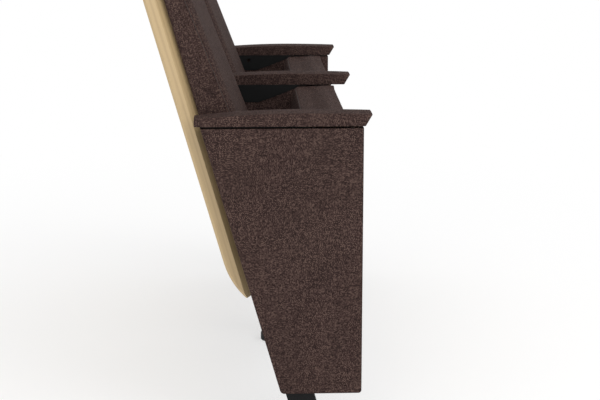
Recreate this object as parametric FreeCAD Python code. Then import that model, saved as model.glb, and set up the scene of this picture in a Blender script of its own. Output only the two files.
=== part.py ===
import FreeCAD, Part
import math
import os

# Row unit of two tip-up auditorium seats with three shared standards.
# X runs along the row, the sitters face -Y, Z is up, and the floor is at zero.
# Lengths are millimetres, angles are degrees.
# "Reach" is a distance forward of the rear end of the armrests.

# Overall
back_top = 960.0
lean = 15.9

# Armrests
arm_underside = 610.0
arm_length = 332.0
arm_width = 58.0
arm_tip_thick = 22.0
arm_crest_thick = 24.5
arm_crest_reach = 200.0
arm_rear_thick = 14.0
arm_undercut = 13.0
arm_tip_round = 4.0
arm_edge_bevel = 3.0
arm_rear_round = 6.0
arm_core_thick = 12.0
arm_core_margin = 7.0
arm_core_cover = 4.0
arm_core_ramp = 60.0

# Upholstered side panels
panel_thick = 50.0
panel_bottom = 80.0
panel_setback = 13.0
panel_top_width = 308.5
middle_panel_setback = 40.0
inner_panel_thick = 9.0
panel_edge_bevel = 2.5
panel_corner_round = 6.0
bracket_plate = 4.0
soft_gap = 0.3

# Steel standards
column_width = 30.0
column_depth = 53.5
column_wall = 2.5
column_round = 5.0
column_setback = 8.0
channel_gap = 0.5

# Floor feet
foot_length = 170.0
foot_width = 64.0
foot_height = 22.5
foot_bevel = 8.0
collar_height = 9.0
collar_wall = 5.0
collar_gap = 0.2
anchor_inset = 25.0
anchor_bore = 12.0

# Arm brackets
gusset_depth = 39.0
gusset_flat_reach = 126.0
gusset_nose_reach = 218.0
gusset_nose_depth = 4.0
gusset_swell = 1.8
gusset_hole = 9.0
gusset_hole_reach = 107.0
gusset_hole_drop = 13.0
gusset_hole_depth = 20.0
gusset_thick = 3.7
wing_below_gusset = 8.0
wing_width = 62.0
wing_drop = 36.0
wing_screw_share = 0.7

# Backs
back_thick = 37.0
back_bevel_depth = 15.0
back_bevel_width = 20.0
back_low_end = 365.0
back_end_radius = 160.0
back_top_bevel = 5.0
back_corner_round = 22.0
back_to_panel = 1.0
back_cushion_low_end = 250.0
back_cushion_top_gap = 8.0
back_cushion_thick_at_arm = 70.0
back_cushion_taper = 5.1
back_cushion_crown = 8.0
back_cushion_draw_in = 4.0
back_cushion_corner = 26.0
back_cushion_rim = 14.0
ring_corner_steps = 4
crown_shares = (0.25, 0.6)
back_board_thick = 10.0
back_board_margin = 16.0
low_bracket_height = 40.0
low_bracket_level = 330.0
low_bracket_reach = 62.0
back_screw_radius = 3.0
back_screw_gap = 0.1
back_screw_head = 6.5
back_screw_head_thick = 3.0
back_screw_bite = 14.0

# Seats, given as they stand tipped up
seat_width = 480.0
seat_side_gap = 20.0
seat_top = 611.0
seat_length = 371.0
seat_face_reach = 212.0
seat_thick = 84.5
seat_crown = 9.0
seat_draw_in = 4.0
seat_corner = 28.0
seat_rim_drop = 26.0
seat_side_rim = 16.0
seat_front_rim = 20.0
seat_rear_rim = 36.0
seat_recess = 14.3
seat_pan_thick = 2.5
seat_board_thick = 12.0
seat_board_margin = 14.0
seat_board_bevel = 3.0
seat_pan_margin = 30.0

# Hinges
pivot_height = 345.0
pivot_setback = 55.5
seat_travel = 84.0
axle_radius = 8.0
axle_tip_gap = 2.0
axle_stub = 4.0
hinge_plate_thick = 8.0
hinge_plate_low = 44.0
hinge_plate_root = 52.0
hinge_nose_radius = 14.0
hub_radius = 16.0
hub_length = 10.0
hub_to_cushion = 2.0
bush_wall = 2.5
bush_running_gap = 0.05
ear_thick = 5.0
ear_setback = 4.0
ear_height = 75.0
ear_foot = 15.0
tab_angle = 222.0
tab_half_width = 7.0
tab_length = 46.0
stop_radius = 36.0
stop_pad_half = 6.0
stop_pad_run = 7.0
stop_pad_wall = 2.5
stop_gap = 0.3
cup_radius = 21.0
cup_wall = 2.5
cup_gap = 0.6
cup_bore_gap = 1.0
cup_face = 1.2
spring_strip = 0.8
spring_growth = 1.0
spring_half_turns = 4
spring_axle_gap = 0.4
spring_side_gap = 0.4

# Values worked out from the ones above
slope = math.tan(math.radians(lean))
cos_lean = math.cos(math.radians(lean))
sin_lean = math.sin(math.radians(lean))
seat_pitch = seat_width + panel_thick + 2 * seat_side_gap
back_width = seat_width
panel_front = arm_length - panel_setback
panel_rear_top = panel_front - panel_top_width
middle_front = arm_length - middle_panel_setback
bracket_top = arm_underside - soft_gap
panel_top = bracket_top - bracket_plate - soft_gap
pivot_reach = arm_length - pivot_setback
plane_to_wood_rear = back_to_panel + back_thick
back_high_end = (back_top - arm_underside + back_to_panel * sin_lean) / cos_lean
back_rear_reach = panel_rear_top - (back_high_end - back_top_bevel) * sin_lean
back_rear_reach -= plane_to_wood_rear * cos_lean
depth_centre = (arm_length + back_rear_reach) / 2
standards = {"left": -seat_pitch, "middle": 0.0, "right": seat_pitch}
seats = {"left": -seat_pitch / 2, "right": seat_pitch / 2}
side_of_standard = {"left": (1,), "middle": (-1, 1), "right": (-1,)}
half_panel = panel_thick / 2
hub_inner = seat_width / 2 + hub_to_cushion
hub_outer = hub_inner + hub_length

ALONG = FreeCAD.Vector(1, 0, 0)


def at(x, reach, height):
    """A point from its place along the row, its reach and its height."""
    return FreeCAD.Vector(x, depth_centre - reach, height)


def rear_line(height, inward=0.0):
    """Reach of the leaning rear edge of the side panels at a height."""
    return panel_rear_top + (arm_underside - height) * slope + inward / cos_lean


def side_plate(x0, x1, start, steps):
    """A plate between two places along the row, with a side outline of lines and arcs.

    Each step is a (reach, height) corner, or a pair of them: a point to pass through and the end.
    """
    edges = []
    here = at(x0, *start)
    for step in steps:
        if isinstance(step[0], tuple):
            through = at(x0, *step[0])
            end = at(x0, *step[1])
            edges.append(Part.Arc(here, through, end).toShape())
        else:
            end = at(x0, *step)
            edges.append(Part.LineSegment(here, end).toShape())
        here = end
    edges.append(Part.LineSegment(here, at(x0, *start)).toShape())
    face = Part.Face(Part.Wire(edges))
    return face.extrude(ALONG * (x1 - x0))


def side_block(x0, x1, corners):
    """A straight-sided plate between two places along the row."""
    return side_plate(x0, x1, corners[0], corners[1:])


def cross_pin(x0, x1, reach, height, radius):
    """A round bar along the row between two places."""
    return Part.makeCylinder(radius, abs(x1 - x0), at(min(x0, x1), reach, height), ALONG)


def edges_along(shape, direction, test=None):
    """Straight edges that run in a direction, and pass an optional test on their centre."""
    found = []
    for edge in shape.Edges:
        if edge.Curve.TypeId != "Part::GeomLine":
            continue
        if edge.Curve.Direction.cross(direction).Length > 1e-4:
            continue
        if test is None or test(edge.CenterOfMass):
            found.append(edge)
    return found


def save(name, *solids):
    """Write the solids of one named piece."""
    shape = solids[0] if len(solids) == 1 else Part.makeCompound(list(solids))
    shape.exportStep("parts/" + name + ".step")


# Steel standards


def column_outline(low, high, grow=0.0):
    """Corners of the leaning column between two heights, grown on its front and rear."""
    front = column_setback + column_depth + grow
    rear = column_setback - grow
    return [
        (rear_line(low, rear), low),
        (rear_line(low, front), low),
        (rear_line(high, front), high),
        (rear_line(high, rear), high),
    ]


def make_column(x):
    """Leaning box-section column, open at both ends."""
    half = column_width / 2
    top = bracket_top - bracket_plate
    tube = side_block(x - half, x + half, column_outline(foot_height, top))
    lengthwise = FreeCAD.Vector(0, sin_lean, cos_lean)
    tube = tube.makeFillet(column_round, edges_along(tube, lengthwise))
    inner = side_block(
        x - half + column_wall, x + half - column_wall, column_outline(foot_height - 1, top + 1, -column_wall)
    )
    inner = inner.makeChamfer(column_round - column_wall, edges_along(inner, lengthwise))
    return tube.cut(inner)


foot_centre = rear_line(foot_height, column_setback + column_depth / 2)
anchor_reaches = (foot_centre - foot_length / 2 + anchor_inset, foot_centre + foot_length / 2 - anchor_inset)


def make_foot(x):
    """Cast foot with rounded ends, a collar for the column and two anchor bolt holes."""
    half_width = foot_width / 2
    half_run = foot_length / 2 - half_width
    body = Part.makeBox(foot_width, 2 * half_run, foot_height, at(x - half_width, foot_centre + half_run, 0))
    for sign in (-1, 1):
        end = Part.makeCylinder(half_width, foot_height, at(x, foot_centre + sign * half_run, 0))
        body = body.fuse(end)
    body = body.removeSplitter()
    upper = [edge for edge in body.Edges if edge.BoundBox.ZMin > foot_height - 0.01]
    body = body.makeChamfer(foot_bevel, upper)
    collar_half = column_width / 2 + collar_gap + collar_wall
    socket_half = column_width / 2 + collar_gap
    collar_top = foot_height + collar_height
    collar = side_block(
        x - collar_half,
        x + collar_half,
        column_outline(foot_height - foot_bevel, collar_top, collar_gap + collar_wall),
    )
    body = body.fuse(collar)
    body = body.cut(
        side_block(x - socket_half, x + socket_half, column_outline(foot_height, collar_top + 1, collar_gap))
    )
    for reach in anchor_reaches:
        body = body.cut(Part.makeCylinder(anchor_bore / 2, foot_height + 2, at(x, reach, -1)))
    return body


# Hinge plates, axles, stops and springs


def around_pivot(angle, radius):
    """Reach and height of a point at an angle and radius from the pivot, zero being forward."""
    turn = math.radians(angle)
    return pivot_reach + radius * math.cos(turn), pivot_height + radius * math.sin(turn)


stop_swing = math.degrees(math.asin((tab_half_width + stop_pad_half + stop_gap) / stop_radius))
stop_angles = (tab_angle + stop_swing, tab_angle - seat_travel - stop_swing)
buffer_inner = seat_width / 2 + hub_to_cushion + hub_length / 2 - ear_thick / 2


def stop_block(x0, x1, angle, swing, half_run, half_wide):
    """A block at a stop, square to the side of the tab that meets it.

    angle is the stop's direction from the pivot, and swing what turns the block back to the tab.
    """
    centre_run = stop_radius * math.cos(math.radians(stop_swing))
    centre_side = stop_radius * math.sin(math.radians(swing))
    turn = math.radians(angle - swing)
    corners = []
    for run, wide in ((-1, -1), (1, -1), (1, 1), (-1, 1)):
        forward = centre_run + run * half_run
        sideways = centre_side + wide * half_wide
        reach = pivot_reach + forward * math.cos(turn) - sideways * math.sin(turn)
        height = pivot_height + forward * math.sin(turn) + sideways * math.cos(turn)
        corners.append((reach, height))
    return side_block(x0, x1, corners)


def stop_blocks(x0, x1, trim=0.0):
    """Both stop blocks of one hinge, trimmed all round."""
    blocks = []
    for angle, swing in zip(stop_angles, (stop_swing, -stop_swing)):
        blocks.append(stop_block(x0, x1, angle, swing, stop_pad_run - trim, stop_pad_half - trim))
    return blocks


def hinge_plate_corners(grow=0.0):
    """Side outline of the plate that carries the pivot in front of the column."""
    low = pivot_height - hinge_plate_root - grow
    high = pivot_height + hinge_plate_root + grow
    front = column_setback + column_depth
    shoulder = pivot_reach + grow
    return [
        (rear_line(low, front), low),
        (shoulder - hinge_nose_radius / 2, pivot_height - hinge_plate_low - grow),
        (shoulder, pivot_height - hinge_nose_radius - grow),
        (shoulder, pivot_height + hinge_nose_radius + grow),
        (shoulder - hinge_nose_radius / 2, pivot_height + hinge_plate_low + grow),
        (rear_line(high, front), high),
    ]


def make_hinge_plate(x, sides):
    """Plate welded to the front of the column, with its stop lugs and the bore for the axle."""
    half = hinge_plate_thick / 2
    plate = side_block(x - half, x + half, hinge_plate_corners())
    plate = plate.fuse(cross_pin(x - half, x + half, pivot_reach, pivot_height, hinge_nose_radius))
    plate = plate.cut(cross_pin(x - half - 1, x + half + 1, pivot_reach, pivot_height, axle_radius))
    reach_out = seat_pitch / 2 - buffer_inner - stop_pad_wall
    for side in sides:
        plate = plate.multiFuse(stop_blocks(x, x + side * reach_out, stop_pad_wall))
    return plate.removeSplitter()


def make_axle(x, sides):
    """Pivot axle, held in the hinge plate and running out to the seat on each side."""
    tip = seat_pitch / 2 - seat_width / 2 - axle_tip_gap
    low = tip if -1 in sides else hinge_plate_thick / 2 + axle_stub
    high = tip if 1 in sides else hinge_plate_thick / 2 + axle_stub
    return cross_pin(x - low, x + high, pivot_reach, pivot_height, axle_radius)


def make_stop_buffers(x, sides):
    """Rubber caps on the stop lugs, flat where the seats' tabs meet them."""
    caps = []
    outer = seat_pitch / 2 - buffer_inner
    for side in sides:
        start = x + side * (half_panel + soft_gap)
        end = x + side * outer
        lugs = stop_blocks(start, end - side * stop_pad_wall, stop_pad_wall)
        for cap, lug in zip(stop_blocks(start, end), lugs):
            caps.append(cap.cut(lug))
    return caps


cup_start = half_panel + soft_gap
cup_end = seat_pitch / 2 - hub_outer - cup_gap


def make_spring_cup(x, side):
    """Cup on an end standard that covers the return spring."""
    start = x + side * cup_start
    end = x + side * cup_end
    cup = cross_pin(start, end, pivot_reach, pivot_height, cup_radius)
    hollow_end = end - side * cup_face
    cup = cup.cut(cross_pin(start, hollow_end, pivot_reach, pivot_height, cup_radius - cup_wall))
    return cup.cut(cross_pin(start, end, pivot_reach, pivot_height, axle_radius + cup_bore_gap))


def make_spring(x, side):
    """Flat spiral spring round the axle inside its cup, wound of half turns that grow outwards."""
    start_x = x + side * (cup_start + spring_side_gap)
    width = cup_end - cup_start - cup_face - 2 * spring_side_gap

    def spiral(extra):
        arcs = []
        centre = 0.0
        radius = axle_radius + spring_axle_gap
        side_sign = 1
        for turn in range(spring_half_turns):
            run = radius + extra
            points = [(centre + side_sign * run, 0), (centre, side_sign * run), (centre - side_sign * run, 0)]
            spots = [at(start_x, pivot_reach + a, pivot_height + b) for a, b in points]
            arcs.append(Part.Arc(*spots).toShape())
            end = centre - side_sign * radius
            radius += spring_growth
            side_sign = -side_sign
            centre = end - side_sign * radius
        return arcs

    inner = spiral(0.0)
    outer = spiral(spring_strip)
    inner_ends = (inner[0].Vertexes[0].Point, inner[-1].Vertexes[-1].Point)
    outer_ends = (outer[0].Vertexes[0].Point, outer[-1].Vertexes[-1].Point)
    caps = [Part.LineSegment(a, b).toShape() for a, b in zip(inner_ends, outer_ends)]
    outline = Part.Wire(Part.__sortEdges__(inner + outer + caps))
    return Part.Face(outline).extrude(ALONG * side * width)


# Upholstered side panels and arms


def panel_corners(front, low, high, inset=0.0):
    """Corners of a side panel that is tapered by its leaning rear edge."""
    return [
        (rear_line(low, inset), low),
        (front - inset, low),
        (front - inset, high),
        (rear_line(high, inset), high),
    ]


def panel_slab(x0, x1, front, outer_x):
    """Panel between two places along the row, rounded at its corners and round its outer face."""
    slab = side_block(x0, x1, panel_corners(front, panel_bottom, panel_top))
    low_corners = edges_along(slab, ALONG, lambda centre: centre.z < panel_bottom + 1)
    slab = slab.makeFillet(panel_corner_round, low_corners)
    rim = []
    for edge in slab.Edges:
        box = edge.BoundBox
        on_face = abs(box.XMin - outer_x) < 0.01 and abs(box.XMax - outer_x) < 0.01
        if on_face and box.ZMin < panel_top - 1:
            rim.append(edge)
    return slab.makeChamfer(panel_edge_bevel, rim)


def steel_channel(x0, x1):
    """Room for the column inside a panel."""
    return side_block(x0, x1, column_outline(panel_bottom - 1, panel_top + 1, channel_gap))


def hinge_pocket(x0, x1):
    """Room for the hinge plate inside a panel."""
    pocket = side_block(x0, x1, hinge_plate_corners(channel_gap))
    return pocket.fuse(cross_pin(x0, x1, pivot_reach, pivot_height, hinge_nose_radius + channel_gap))


def hinge_holes(x0, x1):
    """Holes through a panel's side for the axle and the stop lugs."""
    hole = cross_pin(x0, x1, pivot_reach, pivot_height, axle_radius + channel_gap)
    return hole.multiFuse(stop_blocks(x0, x1, stop_pad_wall - channel_gap))


def make_end_panel(x, side):
    """Thick outer panel of an end standard; side points to its seat."""
    outer_x = x - side * half_panel
    inner_x = x + side * (half_panel - inner_panel_thick - soft_gap)
    slab = panel_slab(min(outer_x, inner_x), max(outer_x, inner_x), panel_front, outer_x)
    deep = x - side * (column_width / 2 + soft_gap)
    slab = slab.cut(steel_channel(min(deep, inner_x) - (side < 0), max(deep, inner_x) + (side > 0)))
    shallow = x - side * (hinge_plate_thick / 2 + axle_stub + channel_gap)
    slab = slab.cut(hinge_pocket(min(shallow, inner_x) - (side < 0), max(shallow, inner_x) + (side > 0)))
    return slab.cut(gusset_bolt_hole(inner_x - side * gusset_hole_depth, inner_x + side))


def make_inner_panel(x, side, front):
    """Thin upholstered cover on the seat side of a standard."""
    outer_x = x + side * half_panel
    inner_x = x + side * (half_panel - inner_panel_thick)
    slab = panel_slab(min(outer_x, inner_x), max(outer_x, inner_x), front, outer_x)
    slab = slab.cut(hinge_holes(min(outer_x, inner_x) - 1, max(outer_x, inner_x) + 1))
    slab = slab.cut(gusset_bolt_hole(inner_x - side, outer_x + side))
    for hole in low_bracket_bolts:
        slab = slab.cut(cross_pin(x, x + side * (half_panel + 1), *hole, back_screw_radius + channel_gap))
    return slab


def make_middle_panel(x, side):
    """One half of the narrower panel round the middle standard."""
    outer_x = x + side * half_panel
    inner_x = x + side * soft_gap / 2
    slab = panel_slab(min(outer_x, inner_x), max(outer_x, inner_x), middle_front, outer_x)
    half = column_width / 2 + soft_gap
    slab = slab.cut(steel_channel(x - half, x + half))
    pocket = hinge_plate_thick / 2 + channel_gap
    slab = slab.cut(hinge_pocket(x - pocket, x + pocket))
    slab = slab.cut(hinge_holes(x - half_panel - 1, x + half_panel + 1))
    for hole in low_bracket_bolts:
        slab = slab.cut(cross_pin(x, x + side * (half_panel + 1), *hole, back_screw_radius + channel_gap))
    return slab


# The arm's rounded tip reaches the arm's length, so its sharp corner would lie a little further out.
tip_angle = math.atan2(arm_tip_thick, arm_undercut)
crest_fall = math.atan2(arm_crest_thick - arm_tip_thick, arm_length - arm_crest_reach)
crest_rise = math.atan2(arm_crest_thick - arm_rear_thick, arm_crest_reach)
whole_rise = math.atan2(arm_tip_thick - arm_rear_thick, arm_length)
top_fall = crest_fall + crest_rise - whole_rise
tip_spread = math.cos((tip_angle - top_fall) / 2) / math.sin((tip_angle + top_fall) / 2)
arm_tip_corner = arm_length + arm_tip_round * (tip_spread - 1)


def make_arm_pad(x):
    """Upholstered arm with an undercut front, a crowned top and a pocket for its core."""
    half = arm_width / 2
    crest = (arm_crest_reach, arm_underside + arm_crest_thick)
    tip = (arm_tip_corner, arm_underside + arm_tip_thick)
    pad = side_plate(
        x - half,
        x + half,
        (0, arm_underside),
        [
            (arm_tip_corner - arm_undercut, arm_underside),
            tip,
            (crest, (0, arm_underside + arm_rear_thick)),
        ],
    )
    rear_post = edges_along(pad, ALONG, lambda c: c.y > at(0, 1, 0).y and c.z > arm_underside + 1)
    pad = pad.makeFillet(arm_rear_round, rear_post)
    tip_edge = edges_along(pad, ALONG, lambda c: c.y < at(0, arm_length, 0).y)
    pad = pad.makeFillet(arm_tip_round, tip_edge)
    long_edges = []
    for edge in pad.Edges:
        box = edge.BoundBox
        if box.XLength < 0.01 and box.ZMin > arm_underside + 1 and box.YLength > arm_length / 2:
            long_edges.append(edge)
    pad = pad.makeChamfer(arm_edge_bevel, long_edges)
    return pad.cut(arm_core_block(x, soft_gap, arm_underside - 1))


def arm_core_block(x, grow, base):
    """Board inside an arm, or the pocket for it."""
    half = arm_width / 2 - arm_core_margin + grow
    front = arm_tip_corner - arm_undercut - arm_core_margin + grow
    rear = arm_core_margin - grow
    top = arm_underside + arm_core_thick + grow
    rear_top = arm_underside + arm_rear_thick - arm_core_cover + grow
    corners = [(rear, base), (front, base), (front, top), (rear + arm_core_ramp, top), (rear, rear_top)]
    return side_block(x - half, x + half, corners)


def make_arm_core(x):
    """Plywood board inside the arm."""
    return arm_core_block(x, 0.0, bracket_top)


# Arm brackets and lower back brackets


def leaning(shape):
    """Lay a piece made upright against the leaning plane of the panels' rear edge."""
    shape = shape.copy()
    shape.rotate(FreeCAD.Vector(0, 0, 0), ALONG, -lean)
    shape.translate(at(0, panel_rear_top, arm_underside))
    return shape


def upright_box(x0, x1, out0, out1, low, high):
    """A box in the back's own upright frame: out is forward of the panels' rear plane."""
    return Part.makeBox(x1 - x0, out1 - out0, high - low, FreeCAD.Vector(x0, -out1, low))


wing_low = -(gusset_depth + wing_below_gusset) / cos_lean
wing_high = wing_low + wing_drop
wing_out = -back_to_panel + soft_gap


def wing_plate(x, side, low, high, grow=0.0):
    """Flange that turns off a standard into the back, in the back's upright frame."""
    start = x + side * (half_panel + soft_gap)
    end = x + side * (half_panel + soft_gap + wing_width + grow)
    return upright_box(
        min(start, end), max(start, end), wing_out - grow, wing_out + bracket_plate + grow, low - grow, high + grow
    )


def gusset_bolt_hole(x0, x1):
    """Bore for the bolt that ties an end standard's gusset to its panel."""
    return cross_pin(x0, x1, gusset_hole_reach, bracket_top - gusset_hole_drop, gusset_hole / 2)


def make_arm_bracket(x, sides):
    """Black bracket under an arm: top flange, curved gussets and wings that hold the backs."""
    top = bracket_top
    half = half_panel + soft_gap + gusset_thick
    left = x - half if -1 in sides else x - column_width / 2
    right = x + half if 1 in sides else x + column_width / 2
    rear = rear_line(top, wing_out)
    bracket = side_block(
        left,
        right,
        [
            (rear_line(top, wing_out), top),
            (gusset_nose_reach, top),
            (gusset_nose_reach, top - bracket_plate),
            (rear_line(top - bracket_plate, wing_out), top - bracket_plate),
        ],
    )
    for side in sides:
        x0 = x + side * (half_panel + soft_gap)
        x1 = x + side * half
        rear_low = rear_line(top - gusset_depth, wing_out)
        nose_low = top - gusset_nose_depth
        belly_reach = (gusset_flat_reach + gusset_nose_reach) / 2
        belly = top - (gusset_depth + gusset_nose_depth) / 2 - gusset_swell
        gusset = side_plate(
            min(x0, x1),
            max(x0, x1),
            (rear, top),
            [
                (gusset_nose_reach, top),
                (gusset_nose_reach, nose_low),
                ((belly_reach, belly), (gusset_flat_reach, top - gusset_depth)),
                (rear_low, top - gusset_depth),
            ],
        )
        bracket = bracket.fuse(gusset)
        bracket = bracket.fuse(leaning(wing_plate(x, side, wing_low, wing_high)))
        if len(sides) == 1:
            bracket = bracket.cut(gusset_bolt_hole(x0 - side, x1 + side))
    for place in wing_screw_places(x, sides, wing_low, wing_high):
        bracket = bracket.cut(back_screw_hole(place))
    return bracket.removeSplitter()


def wing_screw_places(x, sides, low, high):
    """Places of the screw in each wing, as (x, level) in the back's upright frame."""
    places = []
    for side in sides:
        places.append((x + side * (half_panel + wing_width * wing_screw_share), (low + high) / 2))
    return places


def back_screw_hole(place):
    """Drill through a wing, square to the back."""
    start = FreeCAD.Vector(place[0], -wing_out + 1, place[1])
    drill = Part.makeCylinder(back_screw_radius, bracket_plate + 2, start, FreeCAD.Vector(0, -1, 0))
    return leaning(drill)


low_wing_low = (low_bracket_level - arm_underside) / cos_lean
low_wing_high = low_wing_low + low_bracket_height
low_bolt_level = low_bracket_level + low_bracket_height / 2
low_bracket_bolts = [(rear_line(low_bolt_level, column_setback + column_depth / 2), low_bolt_level)]


def make_low_bracket(x, side):
    """Angle bracket from the column to the lower part of the back."""
    x0 = x + side * (half_panel + soft_gap)
    x1 = x + side * (half_panel + soft_gap + bracket_plate)
    low = low_bracket_level
    high = low_bracket_level + low_bracket_height
    leg = side_block(
        min(x0, x1),
        max(x0, x1),
        [
            (rear_line(low, wing_out), low),
            (rear_line(low, low_bracket_reach), low),
            (rear_line(high, low_bracket_reach), high),
            (rear_line(high, wing_out), high),
        ],
    )
    bracket = leg.fuse(leaning(wing_plate(x, side, low_wing_low, low_wing_high)))
    for place in wing_screw_places(x, (side,), low_wing_low, low_wing_high):
        bracket = bracket.cut(back_screw_hole(place))
    for hole in low_bracket_bolts:
        bracket = bracket.cut(cross_pin(x0 - side, x1 + side, *hole, back_screw_radius))
    return bracket.removeSplitter()


def hexagon(radius, length):
    """Six-sided bar standing on zero, for a screw's head or its plain shank."""
    corners = []
    for corner in range(6):
        turn = math.radians(60 * corner)
        corners.append(FreeCAD.Vector(radius * math.cos(turn), radius * math.sin(turn), 0))
    face = Part.Face(Part.makePolygon(corners + corners[:1]))
    return face.extrude(FreeCAD.Vector(0, 0, length))


def make_screw(shank):
    """Screw along Z, its head standing on zero and its shank below."""
    head = hexagon(back_screw_head, back_screw_head_thick)
    stem = hexagon(back_screw_radius - back_screw_gap, shank)
    stem.translate(FreeCAD.Vector(0, 0, -shank))
    return head.fuse(stem)


def make_bracket_bolts(x, side):
    """Bolts that hold a lower bracket to the column through the side panel."""
    bolts = []
    head_start = x + side * (half_panel + soft_gap + bracket_plate)
    for hole in low_bracket_bolts:
        bolt = make_screw(abs(head_start - x) - column_width / 2)
        bolt.rotate(FreeCAD.Vector(0, 0, 0), FreeCAD.Vector(0, 1, 0), 90 * side)
        bolt.translate(at(head_start, *hole))
        bolts.append(bolt)
    return bolts


def make_back_screws(x, side):
    """Screws from the wings back into the wood, for one side of one back."""
    screws = []
    for low, high in ((wing_low, wing_high), (low_wing_low, low_wing_high)):
        for place in wing_screw_places(x, (side,), low, high):
            out = wing_out + bracket_plate
            screw = make_screw(back_to_panel + back_screw_bite + out)
            screw.rotate(FreeCAD.Vector(0, 0, 0), ALONG, 90)
            screw.translate(FreeCAD.Vector(place[0], -out, place[1]))
            screws.append(leaning(screw))
    return screws


# Cushions


def ring(width, length, insets, corner, draw_in, level):
    """Rounded outline with sides drawn in between its corners, at a level that may vary along it.

    insets are taken off the sides, the near end and the far end, and a shorter side is drawn in less.
    """
    side, near, far = insets
    left = -width / 2 + side
    right = width / 2 - side
    low = near
    high = length - far
    middle_y = (low + high) / 2
    side_draw = draw_in * ((high - low) / 2 - corner) / (length / 2 - corner)
    end_draw = draw_in * (right - corner) / (width / 2 - corner)
    centres = (
        (right - corner, low + corner, -90),
        (right - corner, high - corner, 0),
        (left + corner, high - corner, 90),
        (left + corner, low + corner, 180),
    )
    side_middles = (
        (right - side_draw, middle_y),
        (0, high - end_draw),
        (left + side_draw, middle_y),
        (0, low + end_draw),
    )
    points = []
    for (centre_x, centre_y, start), side_middle in zip(centres, side_middles):
        for step in range(ring_corner_steps + 1):
            turn = math.radians(start + 90 * step / ring_corner_steps)
            points.append((centre_x + corner * math.cos(turn), centre_y + corner * math.sin(turn)))
        points.append(side_middle)
    spots = [FreeCAD.Vector(x, y, level(y)) for x, y in points]
    return Part.makePolygon(spots + spots[:1])


def plain_sided(loft):
    """The same solid with each of its flat sides as a plain face."""
    faces = []
    for side in loft.Faces:
        spots = [vertex.Point for vertex in side.OuterWire.OrderedVertexes]
        faces.append(Part.Face(Part.makePolygon(spots + spots[:1])))
    shell = Part.Shell(faces)
    shell.sewShape()
    return Part.Solid(shell)


def pillow(width, length, thick_at, crown, draw_in, corner, rim_drop, rim_insets):
    """Crowned cushion lying flat: width along X, length along Y from 0, thickness up from 0.

    thick_at gives the thickness at the rim at a place along the length. The rim is rounded over
    rim_drop in height and rim_insets at the sides, the near end and the far end.
    """
    rings = [ring(width, length, (0, 0, 0), corner, draw_in, lambda y: 0)]
    for step in range(3):
        turn = math.radians(45 * step)
        insets = [inset * (1 - math.cos(turn)) for inset in rim_insets]
        drop = rim_drop * (1 - math.sin(turn))
        rings.append(ring(width, length, insets, corner, draw_in, lambda y, d=drop: thick_at(y) - d))
    span = min(width, length) / 2 - max(rim_insets)
    for share in crown_shares:
        insets = [inset + span * share for inset in rim_insets]
        rise = crown * (1 - (1 - share / crown_shares[-1]) ** 2)
        rings.append(ring(width, length, insets, corner, draw_in, lambda y, r=rise: thick_at(y) + r))
    return plain_sided(Part.makeLoft(rings, True, True))


def make_back_cushion(x):
    """Wedge-shaped back cushion, thicker towards the seat, with room for its board and wings."""
    length = back_cushion_high - back_cushion_low
    taper = math.tan(math.radians(back_cushion_taper))

    def thick_at(y):
        return back_cushion_thick_at_arm - taper * (back_cushion_low + y)

    flat = pillow(
        back_width,
        length,
        thick_at,
        back_cushion_crown,
        back_cushion_draw_in,
        back_cushion_corner,
        back_cushion_rim,
        (back_cushion_rim, back_cushion_rim, back_cushion_rim),
    )
    flat.rotate(FreeCAD.Vector(0, 0, 0), ALONG, 90)
    flat.translate(FreeCAD.Vector(x, -wing_out, back_cushion_low))
    cushion = flat.cut(back_board_block(x, soft_gap))
    for side in (-1, 1):
        post = x - side * seat_pitch / 2
        for low, high in ((wing_low, wing_high), (low_wing_low, low_wing_high)):
            cushion = cushion.cut(wing_plate(post, side, low, high, soft_gap))
    return leaning(cushion)


back_cushion_low = -back_cushion_low_end
back_cushion_high = back_high_end - back_cushion_top_gap


def back_board_block(x, grow):
    """Board behind the back cushion's foam, in the upright frame, or the pocket for it."""
    half = back_width / 2 - back_board_margin + grow
    return upright_box(
        x - half,
        x + half,
        wing_out - grow,
        wing_out + back_board_thick + grow,
        back_cushion_low + back_board_margin - grow,
        back_cushion_high - back_board_margin + grow,
    )


def make_back_board(x):
    """Plywood board of the back cushion, relieved for the wings and their screw heads."""
    board = back_board_block(x, 0.0)
    for side in (-1, 1):
        post = x - side * seat_pitch / 2
        for low, high in ((wing_low, wing_high), (low_wing_low, low_wing_high)):
            board = board.cut(wing_plate(post, side, low, high, soft_gap))
            for place in wing_screw_places(post, (side,), low, high):
                half = back_screw_head + soft_gap
                deep = wing_out + bracket_plate + back_screw_head_thick + soft_gap
                head_room = upright_box(
                    place[0] - half, place[0] + half, wing_out, deep, place[1] - half, place[1] + half
                )
                board = board.cut(head_room)
    return leaning(board)


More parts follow.
